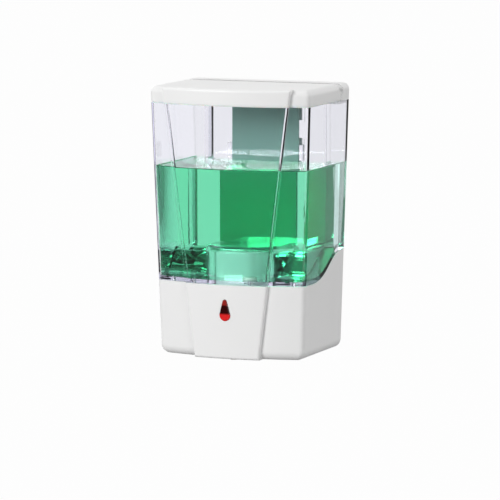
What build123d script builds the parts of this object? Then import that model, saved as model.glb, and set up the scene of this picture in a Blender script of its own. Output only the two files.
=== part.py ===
from build123d import *
import os
from math import atan2, cos, degrees, hypot, pi, radians, sin, sqrt, tan

# Wall mounted automatic soap dispenser. Millimetres, +Z up, front towards -Y, wall at y = 0.
# Heights are counted from the underside of the base; all is lowered by hang_height on export.

# Outer form
height = 207.0
half_width = 58.8
side_depth = 81.0
front_bow = 9.0
draft_angle = 1.9
corner_radius = 4.5
bottom_radius = 7.0
top_radius = 5.0
back_gap = 1.0
wall = 2.4
lean = tan(radians(draft_angle))
bow_radius = (half_width ** 2 + front_bow ** 2) / (2 * front_bow)
bow_centre = bow_radius - side_depth - front_bow

# Raised front panel that widens towards the top
panel_raise = 3.2
panel_half = 26.5
panel_half_top = 52.7
panel_round = 2.0

# Seam between base and tank, an S-curve towards the wall
seam_height = 57.2
seam_rise = 21.0
seam_start = -66.5
seam_foot = -31.0
seam_head = -31.6
seam_gap = 0.35
floor_thickness = 3.2
hump_half = 25.0
hump_front = -64.0
hump_top = 82.0
hump_corner = 18.0

# Tank, lid and soap
rim_height = 194.0
seal_height = 1.0
soap_level = 145.0
recess_half = 47.5
recess_depth = 11.0
backing_half = 27.5
backing_top = 189.0
hinge_y = -17.0
hinge_z = 203.4
barrel_radius = 3.2
pin_radius = 1.2
lid_split = 0.3

# Wall bracket and the hooks of the tank
plate_half = 28.0
plate_low = 140.0
plate_high = 190.0
plate_back = 3.4
plate_front = 6.0
hole_radius = 2.25
hole_half_x = 12.0
hole_half_z = 16.0
hang_height = (plate_low + plate_high) / 2
hook_height = 12.0
hook_low = 146.0
lift = 18.0

# Base interior
lip = 8.2
back_wall = 4.4
fit = 0.25
nozzle_y = -75.5
window_y = -62.0
cell_radius = 7.1
cell_length = 50.5
cell_pitch = 15.0
cell_y = -13.4
cell_low = 6.5
door_half = 32.0
door_top = 64.0
tray_front = -22.0
tray_top = 63.0

# Pump and gear train
pump_y = -49.0
motor_y = -30.0
tube_radius = 3.0
tube_bore = 1.6
track_radius = 14.0
track_z = 18.4
stator_low = 12.0
stator_high = 24.4
plate_z = 42.0
roller_radius = 4.0
roller_count = 3
gear_module = 0.6
pinion_teeth = 12
idler_teeth = 48
rotor_teeth = 54
backlash = 0.14

# Indicator lens
lens_low = 29.6
lens_high = 46.1
lens_foot = 4.35
lens_tip = 1.7


def span(x0, x1, y0, y1, z0, z1):
    """A block between two limits on each axis."""
    block = Box(x1 - x0, y1 - y0, z1 - z0)
    return Pos((x0 + x1) / 2, (y0 + y1) / 2, (z0 + z1) / 2) * block


def post(radius, z0, z1, x=0.0, y=0.0):
    """An upright cylinder."""
    return Pos(x, y, (z0 + z1) / 2) * Cylinder(radius, z1 - z0)


def rod(radius, x0, x1, y, z):
    """A cylinder across the object."""
    return Pos((x0 + x1) / 2, y, z) * Rot(0, 90, 0) * Cylinder(radius, x1 - x0)


def wedge(low_half, high_half, front, back):
    """A block whose two sides lean outwards on the way up."""
    outline = Polyline(
        (-low_half, 0),
        (low_half, 0),
        (high_half, height),
        (-high_half, height),
        close=True,
    )
    return Pos(0, back, 0) * extrude(Plane.XZ * make_face(outline), amount=back - front)


def bowed(radius):
    """The cone whose front is the bowed face of the body."""
    cone = Cone(
        radius,
        radius + height * lean,
        height,
        align=(Align.CENTER, Align.CENTER, Align.MIN),
    )
    return Pos(0, bow_centre, 0) * cone


def body_form(inset, back):
    """The leaning body without its front panel, set in by a wall's thickness."""
    half = half_width - inset
    form = bowed(bow_radius - inset) & wedge(half, half + height * lean, -200, -back)
    uprights = form.edges().filter_by(lambda e: e.bounding_box().size.Z > 100)
    corners = uprights.filter_by(lambda e: e.center().Y < -side_depth / 2)
    return fillet(corners, max(corner_radius - inset, 1.5))


def panel_form(inset):
    """The front panel, a slab that widens towards the top."""
    form = bowed(bow_radius + panel_raise - inset)
    return form & wedge(panel_half - inset, panel_half_top - inset, -200, -side_depth / 2)


def level_edges(form, level):
    """The edges of a form that lie at one height, without those at the wall."""
    flat = form.edges().filter_by(lambda e: e.bounding_box().size.Z < 5)
    return flat.filter_by(lambda e: abs(e.center().Z - level) < 4 and e.center().Y < -10)


def outer_form():
    """The whole outer body with rounded ends and the raised panel."""
    body = body_form(0, back_gap)
    body = fillet(level_edges(body, 0), bottom_radius)
    body = fillet(level_edges(body, height), top_radius)
    panel = panel_form(0)
    front = panel.edges().filter_by(lambda e: e.center().Y < -side_depth - 2)
    return body + fillet(front, panel_round)


def below_seam(rise):
    """All that lies under the seam's S-curve, raised by the given amount."""
    low = seam_height + rise
    high = low + seam_rise
    outline = Curve() + [
        Line((-150, -20), (-150, low)),
        Line((-150, low), (seam_start, low)),
        Bezier((seam_start, low), (seam_foot, low), (seam_head, high), (0, high)),
        Line((0, high), (30, high)),
        Line((30, high), (30, -20)),
        Line((30, -20), (-150, -20)),
    ]
    return Pos(-100, 0, 0) * extrude(Plane.YZ * make_face(outline), amount=200)


def hump(grow, back):
    """The tower over the motor, rounded in plan, grown by the given amount."""
    depth = 120.0
    plan = RectangleRounded(2 * (hump_half + grow), depth, hump_corner + grow)
    tower = extrude(plan, amount=hump_top + grow)
    tower = fillet(tower.faces().sort_by(Axis.Z)[-1].edges(), 3.0)
    return Pos(0, hump_front - grow + depth / 2, 0) * tower & span(-60, 60, -200, -back, 40, 120)


def tank_space(play):
    """The inside of the tank, drawn in by the given play."""
    form = body_form(wall + play, back_gap + wall + play) + panel_form(wall + play)
    form -= below_seam(seam_gap + floor_thickness + play)
    form -= hump(seam_gap + wall + play, -20)
    side = recess_half + wall + play
    return form - span(-side, side, -recess_depth - wall - play, 20, 40, 240)


def screw(head, shank, length, x, y, z):
    """A pan head screw that points upwards with its head below z."""
    cap = post(head, z - 1.8, z, x, y)
    cap = fillet(cap.faces().sort_by(Axis.Z)[0].edges(), 0.7)
    slot = span(x - head, x + head, y - 0.35, y + 0.35, z - 2, z - 1.1)
    return cap + post(shank, z - 0.5, z + length, x, y) - slot


def flank_angle(base, radius):
    """The unwinding angle of an involute at a radius."""
    ratio = max(radius / base, 1.0)
    return sqrt(ratio ** 2 - 1) - atan2(sqrt(ratio ** 2 - 1), 1)


def gear(teeth, tip, root, phase, thickness):
    """A spur gear with involute flanks; one tooth points along the phase."""
    pitch = gear_module * teeth / 2
    base = pitch * cos(radians(20))
    start = max(base, pitch - root)
    outer = pitch + tip
    half_pitch = (pi * gear_module / 2 - backlash) / (2 * pitch) + flank_angle(base, pitch)

    def at(radius, angle):
        return (radius * cos(angle), radius * sin(angle))

    edges = []
    step = 2 * pi / teeth
    middle = (start + outer) / 2
    for number in range(teeth):
        axis = phase + number * step
        foot = half_pitch - flank_angle(base, start)
        waist = half_pitch - flank_angle(base, middle)
        crest = half_pitch - flank_angle(base, outer)
        inner = pitch - root
        if start - inner > 0.02:
            edges.append(Line(at(inner, axis - foot), at(start, axis - foot)))
        rising = (at(start, axis - foot), at(middle, axis - waist), at(outer, axis - crest))
        falling = (at(outer, axis + crest), at(middle, axis + waist), at(start, axis + foot))
        edges.append(ThreePointArc(*rising))
        edges.append(Line(rising[-1], falling[0]))
        edges.append(ThreePointArc(*falling))
        if start - inner > 0.02:
            edges.append(Line(at(start, axis + foot), at(inner, axis + foot)))
        last = min(inner, start) if start - inner > 0.02 else start
        edges.append(Line(at(last, axis + foot), at(last, axis + step - foot)))
    return extrude(make_face(Curve() + edges), amount=thickness)


outer = outer_form()
parts = {}

# Base housing: one moulding with the front, the sides, the deck and the motor tower
housing = (outer & below_seam(0)) + hump(0, back_gap)
solid_base = housing
above_floor = span(-90, 90, -200, 0, wall, 120)
room = body_form(wall, back_gap + back_wall) & above_floor
room = fillet(level_edges(room, wall), bottom_radius - wall)
room += panel_form(wall) & above_floor
room &= below_seam(-wall)
room += hump(-wall, back_gap + back_wall)
housing -= room
housing -= body_form(lip, back_gap + back_wall) & span(-90, 90, -200, 0, -1, wall + 0.1)

# Battery hatch: a window in the back with a groove on each side for the door
door_back = back_gap + 1.35
door_front = door_back + 1.7
groove = 0.15
sill = door_half - 2
housing -= span(-sill, sill, -back_gap - back_wall - 1, 1, -1, door_top - 2)
housing -= span(
    -door_half - groove,
    door_half + groove,
    -door_front - groove,
    -door_back + groove,
    -1,
    door_top + groove,
)
door = span(-door_half, door_half, -door_front, -door_back, groove, door_top)
for number in range(3):
    rib_z = 6 + 4 * number
    door += span(-11, 11, -door_back - 0.2, -back_gap - 0.3, rib_z, rib_z + 1.6)
parts["battery_door"] = door

# Fastening points of the bottom cover, of the tank and of the pump unit
cover_points = [(46, -20), (-46, -20), (36, -68), (-36, -68)]
tank_points = [(48, -71), (-48, -71), (29, -77.5), (-29, -77.5)]
pillar_points = [(16, -57), (-16, -57)]
outlet = (14.0, -74.0)
pad_top = wall + 2.0
deck_under = seam_height - wall
for x, y in cover_points:
    housing += post(3.5, pad_top, 90, x, y) & solid_base
    housing -= post(1.2, pad_top - 1, 16, x, y)
for x, y in pillar_points:
    housing += post(3.0, plate_z + 2, seam_height - 0.5, x, y)
    housing -= post(1.2, plate_z, plate_z + 8, x, y)
for x, y in tank_points:
    housing -= post(1.7, deck_under - 1, seam_height + 1, x, y)
housing -= post(5.5, deck_under - 1, seam_height + 1, *outlet)

# Indicator lens in the panel, shaped like a drop, with its lamp and board behind it
lens_half = (lens_high - lens_low) / 2
lens_middle = lens_low + lens_half
lens_front = side_depth + front_bow + panel_raise + lens_middle * lean
lens_plane = Plane(
    origin=(0, -lens_front, lens_middle),
    x_dir=(1, 0, 0),
    z_dir=(0, -cos(radians(draft_angle)), -sin(radians(draft_angle))),
)
lamp_board = -11.0
board_thickness = 1.6


def drop(grow, low, high):
    """The drop outline, grown by an amount, between two depths of the lens."""
    foot = Pos(0, lens_foot - lens_half) * Circle(lens_foot + grow)
    tip = Pos(0, lens_half - lens_tip) * Circle(lens_tip + grow)
    face = make_hull(foot.edges() + tip.edges())
    return Pos(0, 0, low) * extrude(face, amount=high - low)


lens = drop(0, -wall - 1.5, 0.9)
lens = fillet(lens.faces().sort_by(Axis.Z)[-1].edges(), 0.75)
lens += drop(1.3, -wall - 1.5, -wall - 0.3)
parts["indicator_lens"] = lens_plane * lens
housing -= lens_plane * drop(0.15, -wall - 2, 2)
lamp = post(2.4, lamp_board + board_thickness, -6.9) + Pos(0, 0, -6.9) * Sphere(2.4)
lamp += post(2.8, lamp_board + board_thickness, lamp_board + board_thickness + 0.9)
parts["indicator_lamp"] = lens_plane * Pos(0, -3.5, 0) * lamp
board = span(-9, 9, -13, 13, lamp_board, lamp_board + board_thickness)
parts["lamp_board"] = lens_plane * board
for x in (-6.5, 6.5):
    for y in (-10.5, 10.5):
        housing += lens_plane * post(1.7, lamp_board + board_thickness, -wall / 2, x, y)
parts["base_housing"] = housing

# Bottom cover with the nozzle hole, the sensor slot, the switch slot and screw pockets
cover = body_form(lip + fit, back_gap + back_wall + fit) & span(-90, 90, -200, 0, 0, wall)
for x, y in cover_points:
    cover += post(5.0, wall, pad_top, x, y)
    cover -= post(3.4, -1, 2.2, x, y)
    cover -= post(1.6, -1, 6, x, y)
cover -= post(4.1, -1, 5, 0, nozzle_y)
cover -= Pos(0, window_y, -1) * extrude(SlotOverall(30.4, 8.4), amount=5)
for x in (-21, 21):
    cover += post(2.2, wall, 7, x, window_y)
switch_x = 40.0
switch_y = -48.0
cover -= span(switch_x - 3.5, switch_x + 3.5, switch_y - 1.4, switch_y + 1.4, -1, 5)
parts["bottom_cover"] = cover
parts["cover_screws"] = Compound([screw(3.1, 1.15, 11, x, y, 2.2) for x, y in cover_points])

# Sensor window, sensor lamps and control board
window = Pos(0, window_y, 0.3) * extrude(SlotOverall(30, 8), amount=wall)
window += Pos(0, window_y, wall) * extrude(SlotOverall(33, 11), amount=1.0)
parts["sensor_window"] = window


def eye(x):
    """A small dome lamp that looks down."""
    body = post(1.5, 5.4, 7, x, window_y) + Pos(x, window_y, 5.4) * Sphere(1.5)
    return body + post(1.9, 6.3, 7, x, window_y)


parts["sensor_emitter"] = eye(-9)
parts["sensor_receiver"] = eye(9)
parts["control_board"] = span(-24, 24, -69, -55, 7, 7 + board_thickness)
board_top = 7 + board_thickness
chip = span(-5, 3, -64, -58, board_top, board_top + 1.2)
capacitor = post(2.4, board_top, board_top + 2.6, 12, -61)
parts["board_parts"] = Compound([chip, capacitor, post(2.4, board_top, board_top + 2.6, 18, -61)])

# Slide switch in the bottom cover
switch = span(switch_x - 4.5, switch_x + 4.5, switch_y - 2.6, switch_y + 2.6, wall, 7)
switch -= span(switch_x - 3.5, switch_x + 3.5, switch_y - 1.4, switch_y + 1.4, wall - 1, 4.2)
parts["switch_body"] = switch
knob_x = switch_x - 3.2
knob = span(knob_x, knob_x + 2.6, switch_y - 1.2, switch_y + 1.2, -0.8, 3.9)
parts["switch_knob"] = knob

# Battery tray, cells and formed leaf contacts
tray = span(-door_half + 0.8, door_half - 0.8, tray_front, -back_gap - back_wall - 0.2, wall, tray_top)
tray -= span(-sill, sill, tray_front + 1.2, 1, wall + 1.2, tray_top - 1.2)
for number in range(3):
    rib_x = cell_pitch * (number - 1)
    tray += span(rib_x - 0.3, rib_x + 0.3, tray_front + 0.6, -17.6, wall + 0.6, tray_top - 0.6)
parts["battery_tray"] = tray


def cell(number):
    """One standing cell; every second one stands on its head."""
    nub = 1.5
    body = post(cell_radius, 0, cell_length - nub)
    body = fillet(body.edges().filter_by(GeomType.CIRCLE), 0.6)
    body += post(2.6, cell_length - nub - 0.2, cell_length)
    if number % 2:
        body = Pos(0, 0, cell_length) * Rot(180, 0, 0) * body
    return Pos(cell_pitch * (number - 1.5), cell_y, cell_low) * body


def contact(x, z, rise, turn):
    """A leaf contact, a flat strip with an arched tongue; a turn of 180 looks down."""
    arch = Curve() + [
        ThreePointArc((-4.2, 0), (0, rise), (4.2, 0)),
        Line((4.2, 0), (3.7, 0)),
        ThreePointArc((3.7, 0), (0, rise - 0.45), (-3.7, 0)),
        Line((-3.7, 0), (-4.2, 0)),
    ]
    tongue = extrude(Plane.XZ * make_face(arch), amount=3, both=True)
    return Pos(x, cell_y, z) * Rot(turn, 0, 0) * (tongue + span(-6, 6, -4, 4, 0, 0.4))


cell_xs = [cell_pitch * (number - 1.5) for number in range(4)]
parts["battery_cells"] = Compound([cell(number) for number in range(4)])
floor_z = wall + 1.2
ceiling_z = tray_top - 1.2
low_rise = cell_low - floor_z - 0.1
high_rise = ceiling_z - cell_low - cell_length - 0.1
low_contacts = [contact(x, floor_z, low_rise, 0) for x in cell_xs]
high_contacts = [contact(x, ceiling_z, high_rise, 180) for x in cell_xs]
parts["battery_contacts"] = Compound(low_contacts + high_contacts)

# Gear train: motor pinion, double idler and the wheel on the pump's shaft
pair_one = gear_module * (pinion_teeth + idler_teeth) / 2 + 0.04
pair_two = gear_module * (pinion_teeth + rotor_teeth) / 2 + 0.04
reach = motor_y - pump_y
along = (pair_two ** 2 - pair_one ** 2 + reach ** 2) / (2 * reach)
idler_x = sqrt(pair_two ** 2 - along ** 2)
idler_y = pump_y + along
to_motor = atan2(motor_y - idler_y, -idler_x)
to_pump = atan2(pump_y - idler_y, -idler_x)
wheel_tip = 0.75 * gear_module
wheel_root = 1.2 * gear_module
pinion_tip = 1.0 * gear_module
pinion_root = 1.0 * gear_module
wheel_z = 30.0
upper_z = 36.0
tooth_width = 4.0
pinion = gear(pinion_teeth, pinion_tip, pinion_root, to_motor + pi + pi / pinion_teeth, tooth_width + 0.5)
pinion -= post(1.01, -1, 9)
parts["motor_pinion"] = Pos(0, motor_y, upper_z - 0.25) * pinion
parts["motor_shaft"] = post(1.0, upper_z - 0.5, plate_z + 10, 0, motor_y)
upper = gear(idler_teeth, wheel_tip, wheel_root, to_motor, tooth_width)
lower = gear(pinion_teeth, pinion_tip, pinion_root, to_pump, upper_z - wheel_z + 0.5)
idler = Pos(0, 0, upper_z) * upper + Pos(0, 0, wheel_z - 0.25) * lower
idler += post(2.4, upper_z, plate_z - 0.6)
idler -= post(1.55, 0, 60)
parts["idler_gear"] = Pos(idler_x, idler_y, 0) * idler
wheel = gear(rotor_teeth, wheel_tip, wheel_root, to_pump + pi + pi / rotor_teeth, tooth_width)
wheel += post(4.0, -2.0, tooth_width)
wheel -= post(2.01, -5, 9)
for number in range(6):
    spoke = 2 * pi * number / 6
    wheel -= post(3.2, -1, 9, 9.6 * cos(spoke), 9.6 * sin(spoke))
parts["drive_gear"] = Pos(0, pump_y, wheel_z) * wheel

# Pump: a cup with a round track, a rotor with three rollers, and the squeeze tube
lugs = [(23, -58), (-23, -58), (-16.5, -32.5)]
stator_radius = 20.5
track_wall = track_radius + tube_radius + 0.2
mouth = -66.0


def cup(radius, low, high, front):
    """A round block with a straight front part, as wide as the round."""
    block = post(radius, low, high, 0, pump_y)
    return block + span(-radius, radius, front, pump_y, low, high)


stator = cup(stator_radius, stator_low, stator_high, mouth)
for x, y in lugs:
    stator += post(4.0, stator_low + 6, stator_high, x, y)
stator -= cup(track_wall, stator_low + 1.6, stator_high + 1, mouth - 5)
stator -= post(2.06, 0, 30, 0, pump_y)
for x, y in lugs:
    stator -= post(1.4, 0, 40, x, y)
parts["pump_housing"] = stator
cover_z = stator_high + 2.0
pump_lid = cup(stator_radius, stator_high, cover_z, mouth)
for x, y in lugs + [(idler_x, idler_y)]:
    pump_lid += post(4.0, stator_high, cover_z, x, y)
pump_lid -= post(2.06, 0, 60, 0, pump_y)
pump_lid -= post(1.5, 0, 60, idler_x, idler_y)
for x, y in lugs:
    pump_lid -= post(1.4, 0, 60, x, y)
parts["pump_cover"] = pump_lid
frame_outline = Polyline(
    (-27, -62),
    (27, -62),
    (27, -34),
    (14, -22.4),
    (-14, -22.4),
    (-22, -28),
    (-27, -54),
    close=True,
)
frame_plate = Pos(0, 0, plate_z) * extrude(make_face(frame_outline), amount=2)
frame_plate = fillet(frame_plate.edges().filter_by(Axis.Z), 3)
for x, y in lugs:
    frame_plate += post(3.0, cover_z, plate_z + 1, x, y)
    frame_plate -= post(1.1, cover_z - 1, cover_z + 8, x, y)
frame_plate -= post(3.2, 0, 60, 0, motor_y)
frame_plate -= post(2.06, 0, 60, 0, pump_y)
frame_plate -= post(1.5, 0, 60, idler_x, idler_y)
for x, y in pillar_points:
    frame_plate -= post(1.4, 0, 60, x, y)
parts["gear_frame"] = frame_plate
parts["idler_pin"] = post(1.48, stator_high, plate_z + 2, idler_x, idler_y)
parts["frame_screws"] = Compound([screw(2.6, 1.1, 7, x, y, plate_z) for x, y in pillar_points])
parts["pump_screws"] = Compound([screw(2.2, 1.05, 13.5, x, y, stator_low + 6) for x, y in lugs])
motor_length = 25.0
motor_low = plate_z + 2
can = post(10.05, 0, motor_length) & span(-11, 11, -7.55, 7.55, 0, motor_length)
can = fillet(can.faces().sort_by(Axis.Z)[-1].edges(), 1.0)
can += post(3.0, -1.6, 1) + post(3.0, motor_length - 1, motor_length + 2)
for side in (-1, 1):
    can += span(side * 6 - 1.2, side * 6 + 1.2, -0.2, 0.2, motor_length - 1, motor_length + 4)
can -= post(1.05, -5, 8.2)
parts["motor"] = Pos(0, motor_y, motor_low) * can
pin_circle = track_radius - tube_radius - 0.3 - roller_radius
spots = [
    (pin_circle * cos(2 * pi * number / roller_count), pin_circle * sin(2 * pi * number / roller_count))
    for number in range(roller_count)
]
disc_low = stator_low + 2.2
disc_high = stator_low + 9.4
rotor = post(10.3, disc_low, disc_low + 1.2) + post(10.3, disc_high, disc_high + 1.2)
rotor += post(2.0, stator_low + 0.2, plate_z + 1.6)
for x, y in spots:
    rotor -= post(1.22, 0, 30, x, y)
parts["pump_rotor"] = Pos(0, pump_y, 0) * rotor
pins = [Pos(0, pump_y, 0) * post(pin_radius, disc_low, disc_high + 1.2, x, y) for x, y in spots]
parts["roller_pins"] = Compound(pins)
for number, (x, y) in enumerate(spots):
    roller = post(roller_radius, disc_low + 1.35, disc_high - 0.15) - post(pin_radius + 0.06, 0, 40)
    rims = roller.edges().filter_by(GeomType.CIRCLE).group_by(SortBy.RADIUS)[-1]
    parts["roller_" + str(number + 1)] = Pos(x, pump_y + y, 0) * fillet(rims, 0.5)

# Squeeze tube: down from the tank, once round the track and down into the nozzle
tube_top = 48.0
path = Wire(
    FilletPolyline(
        (*outlet, tube_top),
        (*outlet, track_z),
        (track_radius, pump_y, track_z),
        radius=8,
    ).edges()
    + [
        ThreePointArc(
            (track_radius, pump_y, track_z),
            (0, pump_y + track_radius, track_z),
            (-track_radius, pump_y, track_z),
        )
    ]
    + FilletPolyline(
        (-track_radius, pump_y, track_z),
        (-track_radius, -65, track_z),
        (0, nozzle_y, track_z),
        (0, nozzle_y, 4.6),
        radius=5.5,
    ).edges()
)
start = Plane(origin=(*outlet, tube_top), z_dir=(0, 0, -1))
tube = sweep(start * Circle(tube_radius), path=path) - sweep(start * Circle(tube_bore), path=path)
parts["pump_tube"] = tube

# Nozzle through the bottom cover
nozzle = post(6.0, wall, wall + 1.6) + post(3.9, -2.4, wall) + post(1.55, wall, 11)
nozzle = chamfer(nozzle.edges().filter_by(GeomType.CIRCLE).sort_by(Axis.Z)[0], 0.8)
nozzle -= post(1.0, -4, 14)
parts["nozzle"] = Pos(0, nozzle_y, 0) * nozzle

# Tank: clear shell with a floor over the deck, a recess at the back and hooks for the bracket
tank_low = seam_height + seam_gap
floor_top = tank_low + floor_thickness
tank = outer & span(-90, 90, -200, 0, 20, rim_height)
tank -= below_seam(seam_gap)
tank -= hump(seam_gap, -20)
tank -= tank_space(0)
tank -= span(-recess_half, recess_half, -recess_depth, 1, 40, 240)
for side in (-1, 1):
    arm = side * (plate_half + 1.9)
    tip = side * (plate_half - 0.1)
    tank += span(arm - 1.5, arm + 1.5, -recess_depth - 1, -0.9, hook_low, hook_low + hook_height)
    tank += span(tip - 3.5, tip + 3.5, -2.9, -0.9, hook_low, hook_low + hook_height)
tank += span(-16, 16, -recess_depth - 1, -1.2, plate_high, plate_high + 3)
tank += post(4.5, 51.5, floor_top - 0.5, *outlet)
tank += post(1.55, 41, 52, *outlet)
tank -= post(1.0, 30, 70, *outlet)
tank -= Pos(*outlet, floor_top - 1.5) * Cone(1.0, 3.0, 2, align=(Align.CENTER, Align.CENTER, Align.MIN))
for x, y in tank_points:
    tank -= post(1.22, 40, floor_top - 1.0, x, y)
parts["tank"] = tank
parts["tank_screws"] = Compound([screw(3.4, 1.2, 4.2, x, y, deck_under) for x, y in tank_points])
grommet = post(5.42, deck_under, seam_height) + post(6.6, deck_under - 1.2, deck_under) - post(4.58, 40, 70)
parts["outlet_grommet"] = Pos(*outlet, 0) * grommet
strainer = post(5.5, 0, 1.8) - post(4.5, -1, 1.0)
for number in range(6):
    strainer -= Rot(0, 0, 30 + 60 * number) * span(1.4, 4.2, -0.5, 0.5, 0, 3)
strainer_rim = strainer.edges().filter_by(GeomType.CIRCLE).group_by(SortBy.RADIUS)[-1]
strainer = fillet(strainer_rim.sort_by(Axis.Z)[-1], 0.6)
parts["outlet_strainer"] = Pos(*outlet, floor_top) * strainer
soap = tank_space(0.15) & span(-90, 90, -200, 0, 20, soap_level)
parts["soap_fill"] = soap - post(5.7, 40, floor_top + 2.1, *outlet)

# Backing plate: stands on the tower, lies against the recess and hides the bracket behind the tank
backing = span(-backing_half, backing_half, 0.1 - recess_depth, 2.5 - recess_depth, hump_top, backing_top)
parts["backing_plate"] = fillet(backing.edges().filter_by(Axis.Y), 3.0)

# Hinge bar: closes the back of the tank's mouth and carries the lid
bar_y = hinge_y + lid_split
ledge = body_form(wall + 0.1, back_gap + wall + 0.1)
ledge &= span(-90, 90, hinge_y - 4, 0, rim_height - wall, rim_height)
keep_out = recess_half + wall + 0.1
ledge -= span(-keep_out, keep_out, -recess_depth - wall - 0.1, 1, 100, 240)
bar = outer & span(-90, 90, bar_y, 0, rim_height, 240)
bar -= body_form(wall, back_gap + wall) & span(-90, 90, hinge_y + 7.5, 0, rim_height - 1, height - wall)
bar += ledge
barrel_ends = [(-18.0, 18.0), (40.0, 50.0), (-50.0, -40.0)]
lid_ends = [(18.4, 39.6), (-39.6, -18.4)]
bar -= rod(4.0, -90, 90, hinge_y, hinge_z)
for x0, x1 in barrel_ends:
    bar += rod(barrel_radius, x0, x1, hinge_y, hinge_z)
    bar += span(x0, x1, hinge_y, hinge_y + 6, hinge_z - barrel_radius, hinge_z + 0.8)
bar -= rod(pin_radius + 0.01, -90, 90, hinge_y, hinge_z)
parts["hinge_bar"] = bar
parts["hinge_pin"] = rod(pin_radius, -50, 50, hinge_y, hinge_z)

# Lid with its sealing ring
lid_low = rim_height + seal_height
lid_y = hinge_y - lid_split
lid = outer & span(-90, 90, -200, lid_y, lid_low, 240)
lid_hollow = body_form(wall, back_gap) + panel_form(wall)
lid -= lid_hollow & span(-90, 90, -200, hinge_y - 9, 100, height - wall)
lid -= rod(6.0, -90, 90, hinge_y, hinge_z)
for x0, x1 in lid_ends:
    lid += rod(barrel_radius, x0, x1, hinge_y, hinge_z)
    lid += span(x0, x1, hinge_y - 8.5, hinge_y, hinge_z - barrel_radius, hinge_z + 0.8)
lid -= rod(pin_radius + 0.05, -90, 90, hinge_y, hinge_z)
parts["lid"] = lid
seal_level = span(-90, 90, -200, lid_y - 0.4, rim_height, lid_low)
seal = (body_form(0.4, back_gap) + panel_form(0.4)) & seal_level
seal_hole = body_form(wall - 0.2, back_gap) + panel_form(wall - 0.2)
parts["lid_seal"] = seal - (seal_hole & span(-90, 90, -200, lid_y - 2.4, 100, 240))

# Wall bracket: a flat plate on two pads, notched at the sides for the hooks
bracket = span(-plate_half, plate_half, -plate_front, -plate_back, plate_low, plate_high)
bracket = fillet(bracket.edges().filter_by(Axis.Y), 4.0)
notch_low = hook_low + lift - 1
for side in (-1, 1):
    notch = side * plate_half
    bracket -= span(notch - 4.2, notch + 4.2, -8, -2, notch_low, notch_low + hook_height + 2)
for row in (-hole_half_z, hole_half_z):
    bracket += span(-20, 20, -plate_back - 1, 0, hang_height + row - 8, hang_height + row + 8)
for x in (-hole_half_x, hole_half_x):
    for row in (-hole_half_z, hole_half_z):
        spot = Pos(x, -plate_front / 2, hang_height + row) * Rot(90, 0, 0)
        bracket -= spot * Cylinder(hole_radius, 20)
        bracket -= spot * Pos(0, 0, plate_front / 2 - 0.9) * Cone(hole_radius, hole_radius + 1.9, 1.8)
parts["wall_bracket"] = bracket

os.makedirs("parts", exist_ok=True)
for name, shape in parts.items():
    export_step(Pos(0, 0, -hang_height) * shape, "parts/" + name + ".step")
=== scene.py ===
import logging
import math
from dataclasses import dataclass
from enum import Enum
from typing import Any, ClassVar, Iterable

import bmesh
import bpy
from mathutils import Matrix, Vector


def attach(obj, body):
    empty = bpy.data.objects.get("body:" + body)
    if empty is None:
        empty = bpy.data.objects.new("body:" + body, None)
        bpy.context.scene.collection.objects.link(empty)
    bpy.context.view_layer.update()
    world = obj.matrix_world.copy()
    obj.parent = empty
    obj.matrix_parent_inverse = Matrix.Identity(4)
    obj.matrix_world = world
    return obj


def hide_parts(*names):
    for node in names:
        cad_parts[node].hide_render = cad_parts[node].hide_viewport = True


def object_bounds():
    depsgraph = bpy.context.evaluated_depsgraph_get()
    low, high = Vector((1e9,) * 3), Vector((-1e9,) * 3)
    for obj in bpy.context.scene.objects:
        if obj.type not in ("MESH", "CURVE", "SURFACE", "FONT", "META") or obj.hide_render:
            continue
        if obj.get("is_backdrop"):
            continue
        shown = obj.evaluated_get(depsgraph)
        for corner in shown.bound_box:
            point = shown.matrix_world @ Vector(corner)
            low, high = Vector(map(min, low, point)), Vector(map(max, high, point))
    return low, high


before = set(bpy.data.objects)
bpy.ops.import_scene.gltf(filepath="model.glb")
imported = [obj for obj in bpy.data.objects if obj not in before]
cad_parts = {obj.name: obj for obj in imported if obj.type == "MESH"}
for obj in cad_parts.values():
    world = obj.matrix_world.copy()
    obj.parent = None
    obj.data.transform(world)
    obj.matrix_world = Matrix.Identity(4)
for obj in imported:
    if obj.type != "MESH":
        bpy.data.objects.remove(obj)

Colour = tuple[float, float, float]
Socket = bpy.types.NodeSocket
LOG = logging.getLogger("soap_dispenser")
MILLIMETRE = 1e-3
MICROMETRE = 1e-6


class Effect(Enum):
    """The surface effects that the finishes are made from, each one a shader node group."""

    GRAIN = "moulded_grain"
    MOTTLE = "colour_mottle"
    HANDLING = "handling_marks"
    BRUSH = "brush_lines"
    FACING = "cap_facing"


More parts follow.
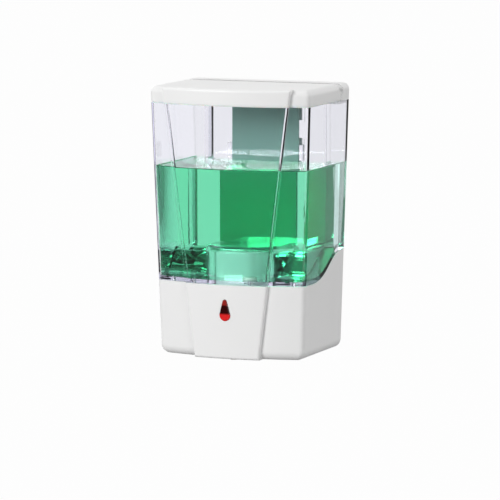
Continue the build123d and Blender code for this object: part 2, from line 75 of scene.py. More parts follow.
class Graph:
    """Short calls for filling one node tree."""

    mix_factor: ClassVar[int] = 0
    mix_first: ClassVar[int] = 6
    mix_second: ClassVar[int] = 7
    mix_result: ClassVar[int] = 2

    def __init__(self, tree: bpy.types.NodeTree) -> None:
        """Keep the tree that the calls fill."""
        self.tree = tree

    def feed(self, target: Socket, value: Any) -> None:
        """Give an input what it works on.

        Args:
            target: The input.
            value: An output to link, or a plain value to set.
        """
        if isinstance(value, Socket):
            self.tree.links.new(value, target)
        else:
            target.default_value = value

    def fill(self, node: bpy.types.Node, feeds: dict[str, Any]) -> None:
        """Feed the named inputs of a node with outputs or plain values."""
        for name, value in feeds.items():
            self.feed(node.inputs[name], value)

    def add(self, kind: str, feeds: dict[str, Any] | None = None, **settings: Any) -> bpy.types.Node:
        """Add a node, set its properties and feed its inputs.

        Args:
            kind: The node's type name.
            feeds: An output or a plain value for each input by name.
            **settings: Properties of the node by name.

        Returns:
            The new node.
        """
        node = self.tree.nodes.new(kind)
        for name, value in settings.items():
            setattr(node, name, value)
        self.fill(node, feeds or {})
        return node

    def calc(self, operation: str, *values: Any) -> Socket:
        """Add one step of arithmetic.

        Args:
            operation: Name of the operation.
            *values: Outputs or plain numbers that go in, in order.

        Returns:
            The output with the result.
        """
        node = self.add("ShaderNodeMath", operation=operation)
        for target, value in zip(node.inputs, values):
            self.feed(target, value)
        return node.outputs["Value"]

    def blend(self, share: Any, first: Any, second: Any) -> Socket:
        """Mix two colours.

        Args:
            share: Share of the second colour.
            first: The first colour, as an output or a plain value.
            second: The second colour, as an output or a plain value.

        Returns:
            The output with the mixed colour.
        """
        node = self.add("ShaderNodeMix", data_type="RGBA")
        self.feed(node.inputs[self.mix_factor], share)
        self.feed(node.inputs[self.mix_first], first)
        self.feed(node.inputs[self.mix_second], second)
        return node.outputs[self.mix_result]

    def layer(self, share: Socket, first: Socket, second: Socket) -> Socket:
        """Mix two shaders.

        Args:
            share: Share of the second shader.
            first: Output of the first shader.
            second: Output of the second shader.

        Returns:
            The output with the mixed shader.
        """
        node = self.add("ShaderNodeMixShader")
        for target, value in zip(node.inputs, (share, first, second)):
            self.feed(target, value)
        return node.outputs["Shader"]

    def place(self, kind: str = "Object") -> Socket:
        """Give coordinates, by default the object's own."""
        return self.add("ShaderNodeTexCoord").outputs[kind]

    def part(self, vector: Socket, axis: str) -> Socket:
        """Give one part of a vector, X, Y or Z."""
        return self.add("ShaderNodeSeparateXYZ", {"Vector": vector}).outputs[axis]

    def noise(self, place: Socket, scale: Any, detail: float) -> Socket:
        """Give noise over coordinates, by its waves per metre and its octaves."""
        feeds = {"Vector": place, "Scale": scale, "Detail": detail}
        return self.add("ShaderNodeTexNoise", feeds).outputs["Fac"]

    def effect(self, effect: Effect, **values: Any) -> bpy.types.Node:
        """Place a shared effect with values for its inputs by name."""
        return self.add("ShaderNodeGroup", values, node_tree=EffectLibrary.tree(effect))


class EffectLibrary:
    """Builds each shared effect once and hands out its node group."""

    made: ClassVar[dict[Effect, bpy.types.NodeTree]] = {}
    noise_core: ClassVar[tuple[float, float]] = (0.3, 0.7)
    grain_detail: ClassVar[float] = 3.0
    mottle_detail: ClassVar[float] = 4.0
    marks_detail: ClassVar[float] = 6.0
    line_detail: ClassVar[float] = 4.0
    line_stretch: ClassVar[tuple[float, float, float]] = (0.06, 0.06, 3.0)

    @classmethod
    def tree(cls, effect: Effect) -> bpy.types.NodeTree:
        """Give the node group of an effect.

        Args:
            effect: The effect that is wanted.

        Returns:
            Its node group, built on the first call.
        """
        if effect not in cls.made:
            builder = getattr(cls, "build_" + effect.name.lower())
            cls.made[effect] = builder(effect.value)
        return cls.made[effect]

    @staticmethod
    def start(name: str, inputs: dict[str, Any], outputs: dict[str, str]) -> tuple[Graph, Any, Any]:
        """Open a new group with named sockets.

        Args:
            name: Name of the group.
            inputs: Default value of each input; a number makes a value, a tuple makes a colour.
            outputs: Socket kind of each output, Float or Color.

        Returns:
            The graph, the outputs of its input node and the inputs of its output node.
        """
        tree = bpy.data.node_groups.new(name, "ShaderNodeTree")
        for label, value in inputs.items():
            kind = "NodeSocketFloat" if isinstance(value, float) else "NodeSocketColor"
            socket = tree.interface.new_socket(name=label, in_out="INPUT", socket_type=kind)
            socket.default_value = value
        for label, kind in outputs.items():
            tree.interface.new_socket(name=label, in_out="OUTPUT", socket_type="NodeSocket" + kind)
        graph = Graph(tree)
        return graph, graph.add("NodeGroupInput").outputs, graph.add("NodeGroupOutput").inputs

    @classmethod
    def spread(cls, graph: Graph, wave: Socket, low: Any, high: Any) -> Socket:
        """Stretch the core of a noise over a range.

        Args:
            graph: The graph to add to.
            wave: The noise.
            low: Low end of the range.
            high: High end of the range.

        Returns:
            The output with the stretched noise.
        """
        first, last = cls.noise_core
        feeds = {"Value": wave, "From Min": first, "From Max": last, "To Min": low, "To Max": high}
        return graph.add("ShaderNodeMapRange", feeds).outputs["Result"]

    @classmethod
    def build_grain(cls, name: str) -> bpy.types.NodeTree:
        """Build the fine spark-eroded grain of a mould.

        Args:
            name: Name of the group.

        Returns:
            The group, with the grain's height.
        """
        graph, given, result = cls.start(name, {"Scale": 2600.0}, {"Height": "Float"})
        place = graph.place()
        fine = graph.noise(place, given["Scale"], cls.grain_detail)
        feeds = {"Vector": place, "Scale": given["Scale"]}
        pits = graph.add("ShaderNodeTexVoronoi", feeds, feature="SMOOTH_F1")
        graph.feed(result["Height"], graph.calc("ADD", fine, pits.outputs["Distance"]))
        return graph.tree

    @classmethod
    def build_mottle(cls, name: str) -> bpy.types.NodeTree:
        """Build a slow change between two shades, as flow in a moulding leaves it.

        Args:
            name: Name of the group.

        Returns:
            The group, with the mixed colour.
        """
        shades = {"Colour": (0.8, 0.8, 0.8, 1.0), "Shade": (0.7, 0.7, 0.7, 1.0), "Scale": 30.0}
        graph, given, result = cls.start(name, shades, {"Colour": "Color"})
        wave = graph.noise(graph.place(), given["Scale"], cls.mottle_detail)
        share = cls.spread(graph, wave, 0.0, 1.0)
        graph.feed(result["Colour"], graph.blend(share, given["Colour"], given["Shade"]))
        return graph.tree

    @classmethod
    def build_handling(cls, name: str) -> bpy.types.NodeTree:
        """Build the uneven gloss that moulding and hands leave.

        Args:
            name: Name of the group.

        Returns:
            The group, with the roughness.
        """
        levels = {"Low": 0.3, "High": 0.4, "Scale": 60.0}
        graph, given, result = cls.start(name, levels, {"Roughness": "Float"})
        wave = graph.noise(graph.place(), given["Scale"], cls.marks_detail)
        graph.feed(result["Roughness"], cls.spread(graph, wave, given["Low"], given["High"]))
        return graph.tree

    @classmethod
    def build_brush(cls, name: str) -> bpy.types.NodeTree:
        """Build the fine drawn lines of rolled or turned metal.

        Args:
            name: Name of the group.

        Returns:
            The group, with the lines' height.
        """
        graph, given, result = cls.start(name, {"Scale": 900.0}, {"Height": "Float"})
        squeeze = graph.add("ShaderNodeMapping", {"Vector": graph.place(), "Scale": cls.line_stretch})
        lines = graph.noise(squeeze.outputs["Vector"], given["Scale"], cls.line_detail)
        graph.feed(result["Height"], lines)
        return graph.tree

    @classmethod
    def build_facing(cls, name: str) -> bpy.types.NodeTree:
        """Build a mask of the faces that look up or down.

        Args:
            name: Name of the group.

        Returns:
            The group, with a mask that is 1 on level faces.
        """
        graph, given, result = cls.start(name, {"Edge": 0.6}, {"Mask": "Float"})
        normal = graph.add("ShaderNodeNewGeometry").outputs["True Normal"]
        slope = graph.calc("ABSOLUTE", graph.part(normal, "Z"))
        graph.feed(result["Mask"], graph.calc("GREATER_THAN", slope, given["Edge"]))
        return graph.tree


def rgba(colour: Colour) -> tuple[float, float, float, float]:
    """Add full opacity to a colour."""
    return (*colour, 1.0)


@dataclass(frozen=True)
class Finish:
    """What every finish has: a name, two shades and two ends of its roughness.

    The mottle of the shades and the marks in the gloss are in waves per metre.
    """

    made: ClassVar[dict[str, bpy.types.Material]] = {}
    mottle: ClassVar[float]
    marks: ClassVar[float]
    name: str
    colour: Colour
    shade: Colour
    smooth: float
    rough: float

    def material(self) -> bpy.types.Material:
        """Give the material of this finish.

        Returns:
            The material, made on the first call.
        """
        if self.name not in self.made:
            material = bpy.data.materials.new(self.name + "_finish")
            material.use_nodes = True
            material.diffuse_color = rgba(self.colour)
            self.fill(Graph(material.node_tree), material.node_tree.nodes["Principled BSDF"])
            self.made[self.name] = material
        return self.made[self.name]

    def fill(self, graph: Graph, shader: bpy.types.Node) -> None:
        """Set the shader's sockets; each kind of finish has its own way."""
        raise NotImplementedError

    def tint(self, graph: Graph) -> Socket:
        """Give the colour that changes slowly between the two shades."""
        shades = {"Colour": rgba(self.colour), "Shade": rgba(self.shade), "Scale": self.mottle}
        return graph.effect(Effect.MOTTLE, **shades).outputs["Colour"]

    def gloss(self, graph: Graph) -> Socket:
        """Give the roughness that wanders between its two ends."""
        levels = {"Low": self.smooth, "High": self.rough, "Scale": self.marks}
        return graph.effect(Effect.HANDLING, **levels).outputs["Roughness"]

    def relief(self, graph: Graph, height: Socket, depth: float) -> Socket:
        """Give the normal of a height map with its depth in metres."""
        feeds = {"Strength": 1.0, "Distance": depth, "Height": height}
        return graph.add("ShaderNodeBump", feeds).outputs["Normal"]


@dataclass(frozen=True)
class MouldedPlastic(Finish):
    """Opaque injection moulded plastic with a fine mould grain."""

    mottle: ClassVar[float] = 26.0
    marks: ClassVar[float] = 70.0
    index: ClassVar[float] = 1.5
    coat_rough: ClassVar[float] = 0.12
    grain: float = 2600.0
    depth: float = 4.0 * MICROMETRE
    coat: float = 0.0

    def fill(self, graph: Graph, shader: bpy.types.Node) -> None:
        """Set colour, gloss and grain of the moulding.

        Args:
            graph: The material's graph.
            shader: The material's shader.
        """
        grain = graph.effect(Effect.GRAIN, Scale=self.grain).outputs["Height"]
        graph.fill(shader, {
            "Base Color": self.tint(graph),
            "Roughness": self.gloss(graph),
            "Normal": self.relief(graph, grain, self.depth),
            "IOR": self.index,
            "Coat Weight": self.coat,
            "Coat Roughness": self.coat_rough,
        })


@dataclass(frozen=True)
class ClearPlastic(Finish):
    """Clear plastic or a clear liquid, tinted by its depth."""

    mottle: ClassVar[float] = 14.0
    marks: ClassVar[float] = 40.0
    index: float
    absorbed: Colour
    density: float
    clearness: float = 1.0
    light_passed: float = 0.0

    def fill(self, graph: Graph, shader: bpy.types.Node) -> None:
        """Set refraction, gloss, the colour that depth takes away and the light let through.

        Args:
            graph: The material's graph.
            shader: The material's shader.
        """
        graph.fill(shader, {
            "Base Color": self.tint(graph),
            "Roughness": self.gloss(graph),
            "IOR": self.index,
            "Transmission Weight": self.clearness,
        })
        feeds = {"Color": rgba(self.absorbed), "Density": self.density}
        depth = graph.add("ShaderNodeVolumeAbsorption", feeds)
        graph.feed(graph.tree.nodes["Material Output"].inputs["Volume"], depth.outputs["Volume"])
        if self.light_passed:
            shadow = graph.add("ShaderNodeLightPath").outputs["Is Shadow Ray"]
            cover = graph.calc("MULTIPLY_ADD", shadow, -self.light_passed, 1.0)
            graph.feed(shader.inputs["Alpha"], cover)


@dataclass(frozen=True)
class PaintedLightLens(Finish):
    """Red lens whose colour is painted by height: a painted highlight at the foot, painted shade at the
    waist and a paler painted tip, in place of the light its bends show.
    """

    marks: ClassVar[float] = 200.0
    index: ClassVar[float] = 1.5
    clearness: ClassVar[float] = 0.15
    foot_end: ClassVar[float] = 0.30
    waist_ends: ClassVar[tuple[float, float]] = (0.38, 0.66)
    tip_ends: ClassVar[tuple[float, float]] = (0.74, 0.86)
    top: ClassVar[float] = 0.97
    tip: Colour

    def fill(self, graph: Graph, shader: bpy.types.Node) -> None:
        """Set the painted highlight and shade over the lens's height, and its polish.

        Args:
            graph: The material's graph.
            shader: The material's shader.
        """
        # Painted light by height: painted highlight at the foot, painted shade at the waist, a paler
        # painted tip.
        height = graph.part(graph.place("Generated"), "Z")
        bands = graph.add("ShaderNodeValToRGB", {"Fac": height})
        stops = bands.color_ramp.elements
        stops[0].position = self.foot_end
        stops[0].color = rgba(self.colour)
        stops[1].position = self.top
        stops[1].color = rgba(self.shade)
        for ends, colour in ((self.waist_ends, self.shade), (self.tip_ends, self.tip)):
            for end in ends:
                stops.new(end).color = rgba(colour)
        graph.fill(shader, {
            "Base Color": bands.outputs["Color"],
            "Roughness": self.gloss(graph),
            "IOR": self.index,
            "Transmission Weight": self.clearness,
        })


@dataclass(frozen=True)
class DrawnMetal(Finish):
    """Rolled, plated or turned metal with fine lines."""

    mottle: ClassVar[float] = 240.0
    marks: ClassVar[float] = 320.0
    depth: ClassVar[float] = 3.0 * MICROMETRE
    lines: float = 900.0

    def fill(self, graph: Graph, shader: bpy.types.Node) -> None:
        """Set the metal's colour, gloss and lines.

        Args:
            graph: The material's graph.
            shader: The material's shader.
        """
        lines = graph.effect(Effect.BRUSH, Scale=self.lines).outputs["Height"]
        graph.fill(shader, {
            "Base Color": self.tint(graph),
            "Roughness": self.gloss(graph),
            "Normal": self.relief(graph, lines, self.depth),
            "Metallic": 1.0,
        })


@dataclass(frozen=True)
class SoftSilicone(Finish):
    """Milky silicone that lets light through its surface."""

    mottle: ClassVar[float] = 60.0
    marks: ClassVar[float] = 160.0
    index: ClassVar[float] = 1.41
    grain: float = 1800.0
    depth: float = 6.0 * MICROMETRE
    milk: float = 0.35
    milk_depth: float = 2.0 * MILLIMETRE

    def fill(self, graph: Graph, shader: bpy.types.Node) -> None:
        """Set the milky depth and the dull gloss.

        Args:
            graph: The material's graph.
            shader: The material's shader.
        """
        grain = graph.effect(Effect.GRAIN, Scale=self.grain).outputs["Height"]
        graph.fill(shader, {
            "Base Color": self.tint(graph),
            "Roughness": self.gloss(graph),
            "Normal": self.relief(graph, grain, self.depth),
            "Subsurface Weight": self.milk,
            "Subsurface Scale": self.milk_depth,
            "IOR": self.index,
        })


@dataclass(frozen=True)
class CircuitBoard(Finish):
    """Solder mask with tracks that show as lighter lines."""

    marks: ClassVar[float] = 200.0
    track: float = 420.0
    track_width: float = 0.07
    depth: float = 20.0 * MICROMETRE

    def fill(self, graph: Graph, shader: bpy.types.Node) -> None:
        """Set the mask's colour and its tracks.

        Args:
            graph: The material's graph.
            shader: The material's shader.
        """
        cells = graph.add(
            "ShaderNodeTexVoronoi",
            {"Vector": graph.place(), "Scale": self.track},
            feature="DISTANCE_TO_EDGE",
            distance="MANHATTAN",
        )
        line = graph.calc("LESS_THAN", cells.outputs["Distance"], self.track_width)
        graph.fill(shader, {
            "Base Color": graph.blend(line, rgba(self.colour), rgba(self.shade)),
            "Roughness": self.gloss(graph),
            "Normal": self.relief(graph, line, self.depth),
        })


@dataclass(frozen=True)
class CellSleeve(Finish):
    """Plain sleeve round a cell, with bare plated ends."""

    mottle: ClassVar[float] = 45.0
    marks: ClassVar[float] = 120.0
    plating: Colour = (0.62, 0.62, 0.63)
    end_slope: float = 0.7

    def fill(self, graph: Graph, shader: bpy.types.Node) -> None:
        """Set the sleeve's colour and the bare metal of the ends.

        Args:
            graph: The material's graph.
            shader: The material's shader.
        """
        ends = graph.effect(Effect.FACING, Edge=self.end_slope).outputs["Mask"]
        graph.fill(shader, {
            "Base Color": graph.blend(ends, self.tint(graph), rgba(self.plating)),
            "Metallic": ends,
            "Roughness": self.gloss(graph),
        })


@dataclass(frozen=True)
class GlowingResin(Finish):
    """Tinted resin of a small lamp that is on."""

    mottle: ClassVar[float] = 400.0
    marks: ClassVar[float] = 300.0
    glow: float

    def fill(self, graph: Graph, shader: bpy.types.Node) -> None:
        """Set the resin's colour and the light that it gives off.

        Args:
            graph: The material's graph.
            shader: The material's shader.
        """
        tint = self.tint(graph)
        graph.fill(shader, {
            "Base Color": tint,
            "Emission Color": tint,
            "Emission Strength": self.glow,
            "Roughness": self.gloss(graph),
        })


WHITE_SHELL = MouldedPlastic(
    "white_shell", (0.86, 0.86, 0.858), (0.85, 0.85, 0.847), smooth=0.37, rough=0.42
)
WHITE_INNER = MouldedPlastic("white_inner", (0.80, 0.80, 0.79), (0.74, 0.74, 0.72), smooth=0.42, rough=0.55)
# The green tint in this grey is painted green light reflected from the soap.
GREY_PLASTIC = MouldedPlastic(
    "grey_plastic",
    (0.30, 0.38, 0.35),
    (0.26, 0.34, 0.31),
    smooth=0.45,
    rough=0.6,
    grain=1400.0,
    depth=12.0 * MICROMETRE,
)
BLACK_PLASTIC = MouldedPlastic(
    "black_plastic", (0.022, 0.022, 0.024), (0.035, 0.035, 0.036), smooth=0.35, rough=0.5
)
DARK_WINDOW = MouldedPlastic(
    "dark_window",
    (0.012, 0.006, 0.012),
    (0.02, 0.008, 0.018),
    smooth=0.06,
    rough=0.1,
    depth=0.5 * MICROMETRE,
    coat=0.5,
)
NYLON = MouldedPlastic("nylon", (0.80, 0.77, 0.68), (0.74, 0.70, 0.60), smooth=0.4, rough=0.5)
CLEAR_TANK = ClearPlastic(
    "clear_plastic",
    (0.972, 0.974, 1.0),
    (0.966, 0.969, 1.0),
    smooth=0.0,
    rough=0.02,
    index=1.49,
    absorbed=(0.80, 0.78, 0.95),
    density=14.0,
    light_passed=0.78,
)
GREEN_SOAP = ClearPlastic(
    "green_soap",
    (0.98, 1.0, 0.99),
    (0.97, 1.0, 0.985),
    smooth=0.0,
    rough=0.02,
    index=1.36,
    absorbed=(0.03, 0.945, 0.59),
    density=18.5,
    light_passed=0.78,
)
# The darkened greenish colour of this plate is painted shade and painted green light from the soap.
FROSTED_BACKING = ClearPlastic(
    "frosted_backing",
    (0.27, 0.50, 0.41),
    (0.25, 0.475, 0.39),
    smooth=0.7,
    rough=0.8,
    index=1.5,
    absorbed=(0.9, 0.95, 0.93),
    density=5.0,
    clearness=0.2,
)
# Bright red foot, near-black waist and mid-red tip are painted highlight and painted shade on the red lens.
RED_LENS = PaintedLightLens(
    "red_lens", (0.86, 0.024, 0.024), (0.035, 0.0, 0.0), smooth=0.05, rough=0.1, tip=(0.36, 0.022, 0.018)
)
STEEL = DrawnMetal("steel", (0.64, 0.64, 0.65), (0.56, 0.56, 0.58), smooth=0.22, rough=0.36)
BRASS = DrawnMetal("brass", (0.80, 0.60, 0.28), (0.72, 0.52, 0.22), smooth=0.18, rough=0.3, lines=1500.0)
SILICONE = SoftSilicone("silicone", (0.82, 0.82, 0.80), (0.76, 0.76, 0.74), smooth=0.38, rough=0.52)
BOARD = CircuitBoard("board", (0.02, 0.16, 0.06), (0.06, 0.30, 0.13), smooth=0.22, rough=0.34)
CELL_SLEEVE = CellSleeve("cell_wrap", (0.05, 0.055, 0.07), (0.08, 0.085, 0.10), smooth=0.2, rough=0.3)
LAMP_RESIN = GlowingResin(
    "lamp_clear", (0.95, 0.10, 0.08), (0.85, 0.07, 0.06), smooth=0.08, rough=0.14, glow=0.8
)


def paint(piece: bpy.types.Object, finish: Finish) -> None:
    """Set the one material of a piece."""
    piece.data.materials.clear()
    piece.data.materials.append(finish.material())


@dataclass
class SubAssembly:
    """A group of pieces that belong together on the object."""

    title: str = "pieces"

    def finishes(self) -> dict[str, Finish]:
        """Choose the finish of each node of the group, none by default."""
        return {}

    def build(self) -> None:
        """Make the group's own meshes, none by default."""

    def dress(self) -> None:
        """Give every node of the group its finish and report it."""
        for node, finish in self.finishes().items():
            paint(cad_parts[node], finish)
            LOG.info("%s: %s in %s", self.title, node, finish.name)


@dataclass
class Tank(SubAssembly):
    """The clear tank, its strainer and the pieces that hold it down."""

    title: str = "tank"

    def finishes(self) -> dict[str, Finish]:
        """Choose the finishes of the tank.

        Returns:
            The finish of each node.
        """
        return {
            "tank": CLEAR_TANK,
            "outlet_strainer": WHITE_INNER,
            "outlet_grommet": SILICONE,
            "tank_screws": STEEL,
        }


@dataclass
class SoapCharge(SubAssembly):
    """The green soap, which wets the tank's wall and climbs it a little."""

    title: str = "soap"
    wetting: float = 0.45 * MILLIMETRE
    climb: float = 0.9 * MILLIMETRE
    reach: float = 0.7 * MILLIMETRE
    rings: int = 4
    rings_per_reach: int = 2
    crease: float = math.radians(25.0)
    tolerance: float = 1.0 * MICROMETRE

    def build(self) -> None:
        """Make the liquid from the space that the node holds."""
        shape = bmesh.new()
        shape.from_mesh(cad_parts["soap_fill"].data)
        bmesh.ops.remove_doubles(shape, verts=shape.verts, dist=self.tolerance)
        bmesh.ops.recalc_face_normals(shape, faces=shape.faces)
        level = max(corner.co.z for corner in shape.verts)
        outward = self.swell(shape, level)
        self.curve_rim(shape, level, outward)
        self.shade_smooth(shape)
        mesh = bpy.data.meshes.new("soap")
        shape.to_mesh(mesh)
        shape.free()
        piece = bpy.data.objects.new("soap", mesh)
        bpy.context.scene.collection.objects.link(piece)
        paint(piece, GREEN_SOAP)
        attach(piece, "dispenser")
        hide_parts("soap_fill")
        LOG.info("%s: liquid body with %d faces", self.title, len(mesh.polygons))

    def swell(self, shape: bmesh.types.BMesh, level: float) -> dict[bmesh.types.BMVert, Vector]:
        """Push the liquid's sides into the wall that it wets.

        Args:
            shape: The liquid's mesh.
            level: Height of the surface.

        Returns:
            The way out of the liquid at each point of its rim.
        """
        shape.normal_update()
        rim = {}
        for corner in shape.verts:
            way = corner.normal.copy()
            if corner.co.z > level - self.tolerance:
                way.z = 0.0
                way.normalize()
                rim[corner] = way
        for corner in shape.verts:
            corner.co += rim.get(corner, corner.normal) * self.wetting
        return rim

    def curve_rim(
        self, shape: bmesh.types.BMesh, level: float, outward: dict[bmesh.types.BMVert, Vector]
    ) -> None:
        """Raise the surface's rim against the wall.

        Args:
            shape: The liquid's mesh.
            level: Height of the surface.
            outward: The way out of the liquid at each point of its rim.
        """
        flat = [face for face in shape.faces if all(corner in outward for corner in face.verts)]
        surface = bmesh.ops.dissolve_faces(shape, faces=flat)["region"][0]
        ring = list(surface.verts)
        ways = [outward[corner] for corner in ring]
        shape.faces.remove(surface)
        step = self.reach / self.rings_per_reach
        for corner in ring:
            corner.co.z = level + self.climb
        for number in range(1, self.rings + 1):
            height = level + self.climb * math.exp(-number * step / self.reach)
            inner = [shape.verts.new(corner.co - way * step) for corner, way in zip(ring, ways)]
            for place, corner in enumerate(inner):
                corner.co.z = height
                shape.faces.new((ring[place - 1], ring[place], corner, inner[place - 1]))
            ring = inner
        shape.faces.new(ring)

    def shade_smooth(self, shape: bmesh.types.BMesh) -> None:
        """Shade the faces smooth between the creases.

        Args:
            shape: The liquid's mesh.
        """
        shape.normal_update()
        for face in shape.faces:
            face.smooth = True
        for edge in shape.edges:
            edge.smooth = edge.calc_face_angle(math.pi) < self.crease


@dataclass
class BaseShell(SubAssembly):
    """The white sensor base with its cover, lens, window and nozzle."""

    title: str = "base"

    def finishes(self) -> dict[str, Finish]:
        """Choose the finishes of the base.

        Returns:
            The finish of each node.
        """
        return {
            "base_housing": WHITE_SHELL,
            "bottom_cover": WHITE_SHELL,
            "cover_screws": STEEL,
            "indicator_lens": RED_LENS,
            "sensor_window": DARK_WINDOW,
            "nozzle": SILICONE,
        }


@dataclass
class Lid(SubAssembly):
    """The hinged lid with its seal, and the bar that carries it."""

    title: str = "lid"

    def finishes(self) -> dict[str, Finish]:
        """Choose the finishes of the lid.

        Returns:
            The finish of each node.
        """
        return {
            "lid": WHITE_SHELL,
            "hinge_bar": WHITE_SHELL,
            "lid_seal": SILICONE,
            "hinge_pin": STEEL,
        }


@dataclass
class WallBracket(SubAssembly):
    """The plate on the wall that the tank hooks on to, and the backing plate before it."""

    title: str = "bracket"

    def finishes(self) -> dict[str, Finish]:
        """Choose the finishes of the two plates."""
        return {"wall_bracket": GREY_PLASTIC, "backing_plate": FROSTED_BACKING}


@dataclass
class PumpUnit(SubAssembly):
    """Motor, gear train, roller pump and squeeze tube."""

    title: str = "pump"

    def finishes(self) -> dict[str, Finish]:
        """Choose the finishes of the pump.

        Returns:
            The finish of each node.
        """
        return {
            "motor": STEEL,
            "motor_shaft": STEEL,
            "motor_pinion": BRASS,
            "gear_frame": WHITE_INNER,
            "idler_pin": STEEL,
            "idler_gear": NYLON,
            "drive_gear": NYLON,
            "pump_rotor": NYLON,
            "roller_1": NYLON,
            "roller_2": NYLON,
            "roller_3": NYLON,
            "roller_pins": STEEL,
            "pump_housing": WHITE_INNER,
            "pump_cover": WHITE_INNER,
            "pump_screws": STEEL,
            "frame_screws": STEEL,
            "pump_tube": SILICONE,
        }


@dataclass
class Electronics(SubAssembly):
    """Boards, lamps, sensor eyes and the power switch."""

    title: str = "electronics"

    def finishes(self) -> dict[str, Finish]:
        """Choose the finishes of the electronics.

        Returns:
            The finish of each node.
        """
        return {
            "lamp_board": BOARD,
            "control_board": BOARD,
            "board_parts": BLACK_PLASTIC,
            "indicator_lamp": LAMP_RESIN,
            "sensor_emitter": DARK_WINDOW,
            "sensor_receiver": BLACK_PLASTIC,
            "switch_body": STEEL,
            "switch_knob": BLACK_PLASTIC,
        }


@dataclass
class BatteryBay(SubAssembly):
    """Tray, cells, contacts and the sliding door."""

    title: str = "battery bay"

    def finishes(self) -> dict[str, Finish]:
        """Choose the finishes of the battery bay.

        Returns:
            The finish of each node.
        """
        return {
            "battery_tray": WHITE_INNER,
            "battery_cells": CELL_SLEEVE,
            "battery_contacts": STEEL,
            "battery_door": WHITE_SHELL,
        }


@dataclass(frozen=True)
class Lamp:
    """One soft studio lamp, in metres and watts."""

    name: str
    place: tuple[float, float, float]
    size: float
    power: float

    def build(self, target: Vector) -> None:
        """Hang the lamp and turn it to the object.

        Args:
            target: The point that the lamp looks at.
        """
        light = bpy.data.lights.new(self.name, "AREA")
        light.shape = "DISK"
        light.size = self.size
        light.energy = self.power
        piece = bpy.data.objects.new(self.name, light)
        piece.location = self.place
        piece.rotation_euler = (target - piece.location).to_track_quat("-Z", "Y").to_euler()
        bpy.context.scene.collection.objects.link(piece)


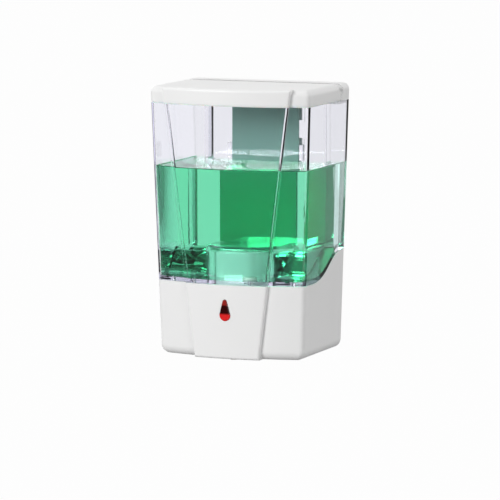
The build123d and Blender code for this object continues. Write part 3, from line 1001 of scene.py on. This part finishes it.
@dataclass
class Studio:
    """Camera, soft lamps, white surround and a pale floor, in degrees and metres."""

    azimuth: float = 22.05
    elevation: float = 6.61
    distance: float = 3.086
    lens: float = 288.0
    film: float = 36.0
    far_end: float = 100.0
    middle: tuple[float, float, float] = (0.0, -0.045, -0.065)
    aim_right: float = 0.00066
    aim_down: float = 0.0213
    floor_drop: float = 0.3
    floor_side: float = 24.0
    floor_front: float = 1.0
    floor_shade: Colour = (0.32, 0.32, 0.32)
    floor_rough: float = 0.9
    floor_glow: float = 0.98
    backdrop: Colour = (1.0, 1.0, 1.0)
    backdrop_start: float = -0.6
    backdrop_full: float = 0.15
    room: float = 0.08
    seen_through: float = 0.2
    bounces: int = 32
    lamps: tuple[Lamp, ...] = (
        Lamp("key_lamp", place=(-1.2, -2.4, 0.75), size=1.2, power=56.0),
        Lamp("fill_lamp", place=(2.2, -1.8, 0.4), size=1.4, power=20.0),
    )

    def build(self) -> None:
        """Set up the whole studio."""
        stage = bpy.context.scene
        stage.view_settings.view_transform = "Standard"
        stage.cycles.max_bounces = self.bounces
        stage.cycles.transmission_bounces = self.bounces
        self.build_camera()
        for lamp in self.lamps:
            lamp.build(Vector(self.middle))
            LOG.info("studio: %s", lamp.name)
        self.build_surround()
        self.build_floor()

    def build_camera(self) -> None:
        """Place the camera at the viewing angle of the product picture."""
        turn = math.radians(self.azimuth)
        tilt = math.radians(self.elevation)
        ahead = Vector((-math.sin(turn) * math.cos(tilt), math.cos(turn) * math.cos(tilt), -math.sin(tilt)))
        right = Vector((math.cos(turn), math.sin(turn), 0.0))
        up = right.cross(ahead)
        middle = Vector(self.middle)
        data = bpy.data.cameras.new("camera")
        data.sensor_width = self.film
        data.lens = self.lens
        data.clip_end = self.far_end
        camera = bpy.data.objects.new("camera", data)
        camera.location = middle - ahead * self.distance
        aim = middle + right * self.aim_right - up * self.aim_down
        camera.rotation_euler = (aim - camera.location).to_track_quat("-Z", "Y").to_euler()
        bpy.context.scene.collection.objects.link(camera)
        bpy.context.scene.camera = camera

    def build_surround(self) -> None:
        """Make a white backdrop behind the object and a dim room in front of it."""
        world = bpy.data.worlds.new("surround")
        world.use_nodes = True
        graph = Graph(world.node_tree)
        feeds = {
            "Value": graph.part(graph.place("Generated"), "Y"),
            "From Min": self.backdrop_start,
            "From Max": self.backdrop_full,
            "To Min": self.room,
        }
        level = graph.add("ShaderNodeMapRange", feeds, interpolation_type="SMOOTHSTEP")
        path = graph.add("ShaderNodeLightPath").outputs
        share = graph.calc("MULTIPLY", path["Is Transmission Ray"], self.seen_through)
        shown = graph.calc("MAXIMUM", path["Is Camera Ray"], share)
        strength = graph.calc("MAXIMUM", level.outputs["Result"], shown)
        light = world.node_tree.nodes["Background"]
        graph.fill(light, {"Color": rgba(self.backdrop), "Strength": strength})
        bpy.context.scene.world = world

    def build_floor(self) -> None:
        """Lay the pale floor under the hanging object."""
        low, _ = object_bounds()
        half = self.floor_side / 2
        front = -self.floor_front
        mesh = bpy.data.meshes.new("floor")
        corners = [(-half, front, 0.0), (half, front, 0.0), (half, half, 0.0), (-half, half, 0.0)]
        mesh.from_pydata(corners, [], [(0, 1, 2, 3)])
        floor = bpy.data.objects.new("floor", mesh)
        floor.location.z = low[2] - self.floor_drop
        bpy.context.scene.collection.objects.link(floor)
        mesh.materials.append(self.floor_material())
        floor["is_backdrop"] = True

    def floor_material(self) -> bpy.types.Material:
        """Make a pale floor that is nearly white to the eye, keeps the shadow and is open from below.

        Returns:
            The floor's material.
        """
        material = bpy.data.materials.new("pale_floor")
        material.use_nodes = True
        nodes = material.node_tree.nodes
        graph = Graph(material.node_tree)
        base = nodes["Principled BSDF"]
        graph.fill(base, {
            "Base Color": rgba(self.floor_shade),
            "Roughness": self.floor_rough,
            "Specular IOR Level": 0.0,
        })
        path = graph.add("ShaderNodeLightPath").outputs
        shown = graph.calc("MAXIMUM", path["Is Camera Ray"], path["Is Transmission Ray"])
        share = graph.calc("MULTIPLY", shown, self.floor_glow)
        glow = graph.add("ShaderNodeEmission").outputs["Emission"]
        top = graph.layer(share, base.outputs["BSDF"], glow)
        below = graph.add("ShaderNodeNewGeometry").outputs["Backfacing"]
        opening = graph.add("ShaderNodeBsdfTransparent").outputs["BSDF"]
        graph.feed(nodes["Material Output"].inputs["Surface"], graph.layer(below, top, opening))
        return material


def main() -> None:
    """Build and dress each sub-assembly and set up the studio."""
    logging.basicConfig(level=logging.INFO, format="%(message)s")
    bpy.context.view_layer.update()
    groups = (
        Tank(),
        SoapCharge(),
        BaseShell(),
        Lid(),
        WallBracket(),
        PumpUnit(),
        Electronics(),
        BatteryBay(),
    )
    for group in groups:
        group.build()
        group.dress()
    Studio().build()


if __name__ == "__main__":
    main()
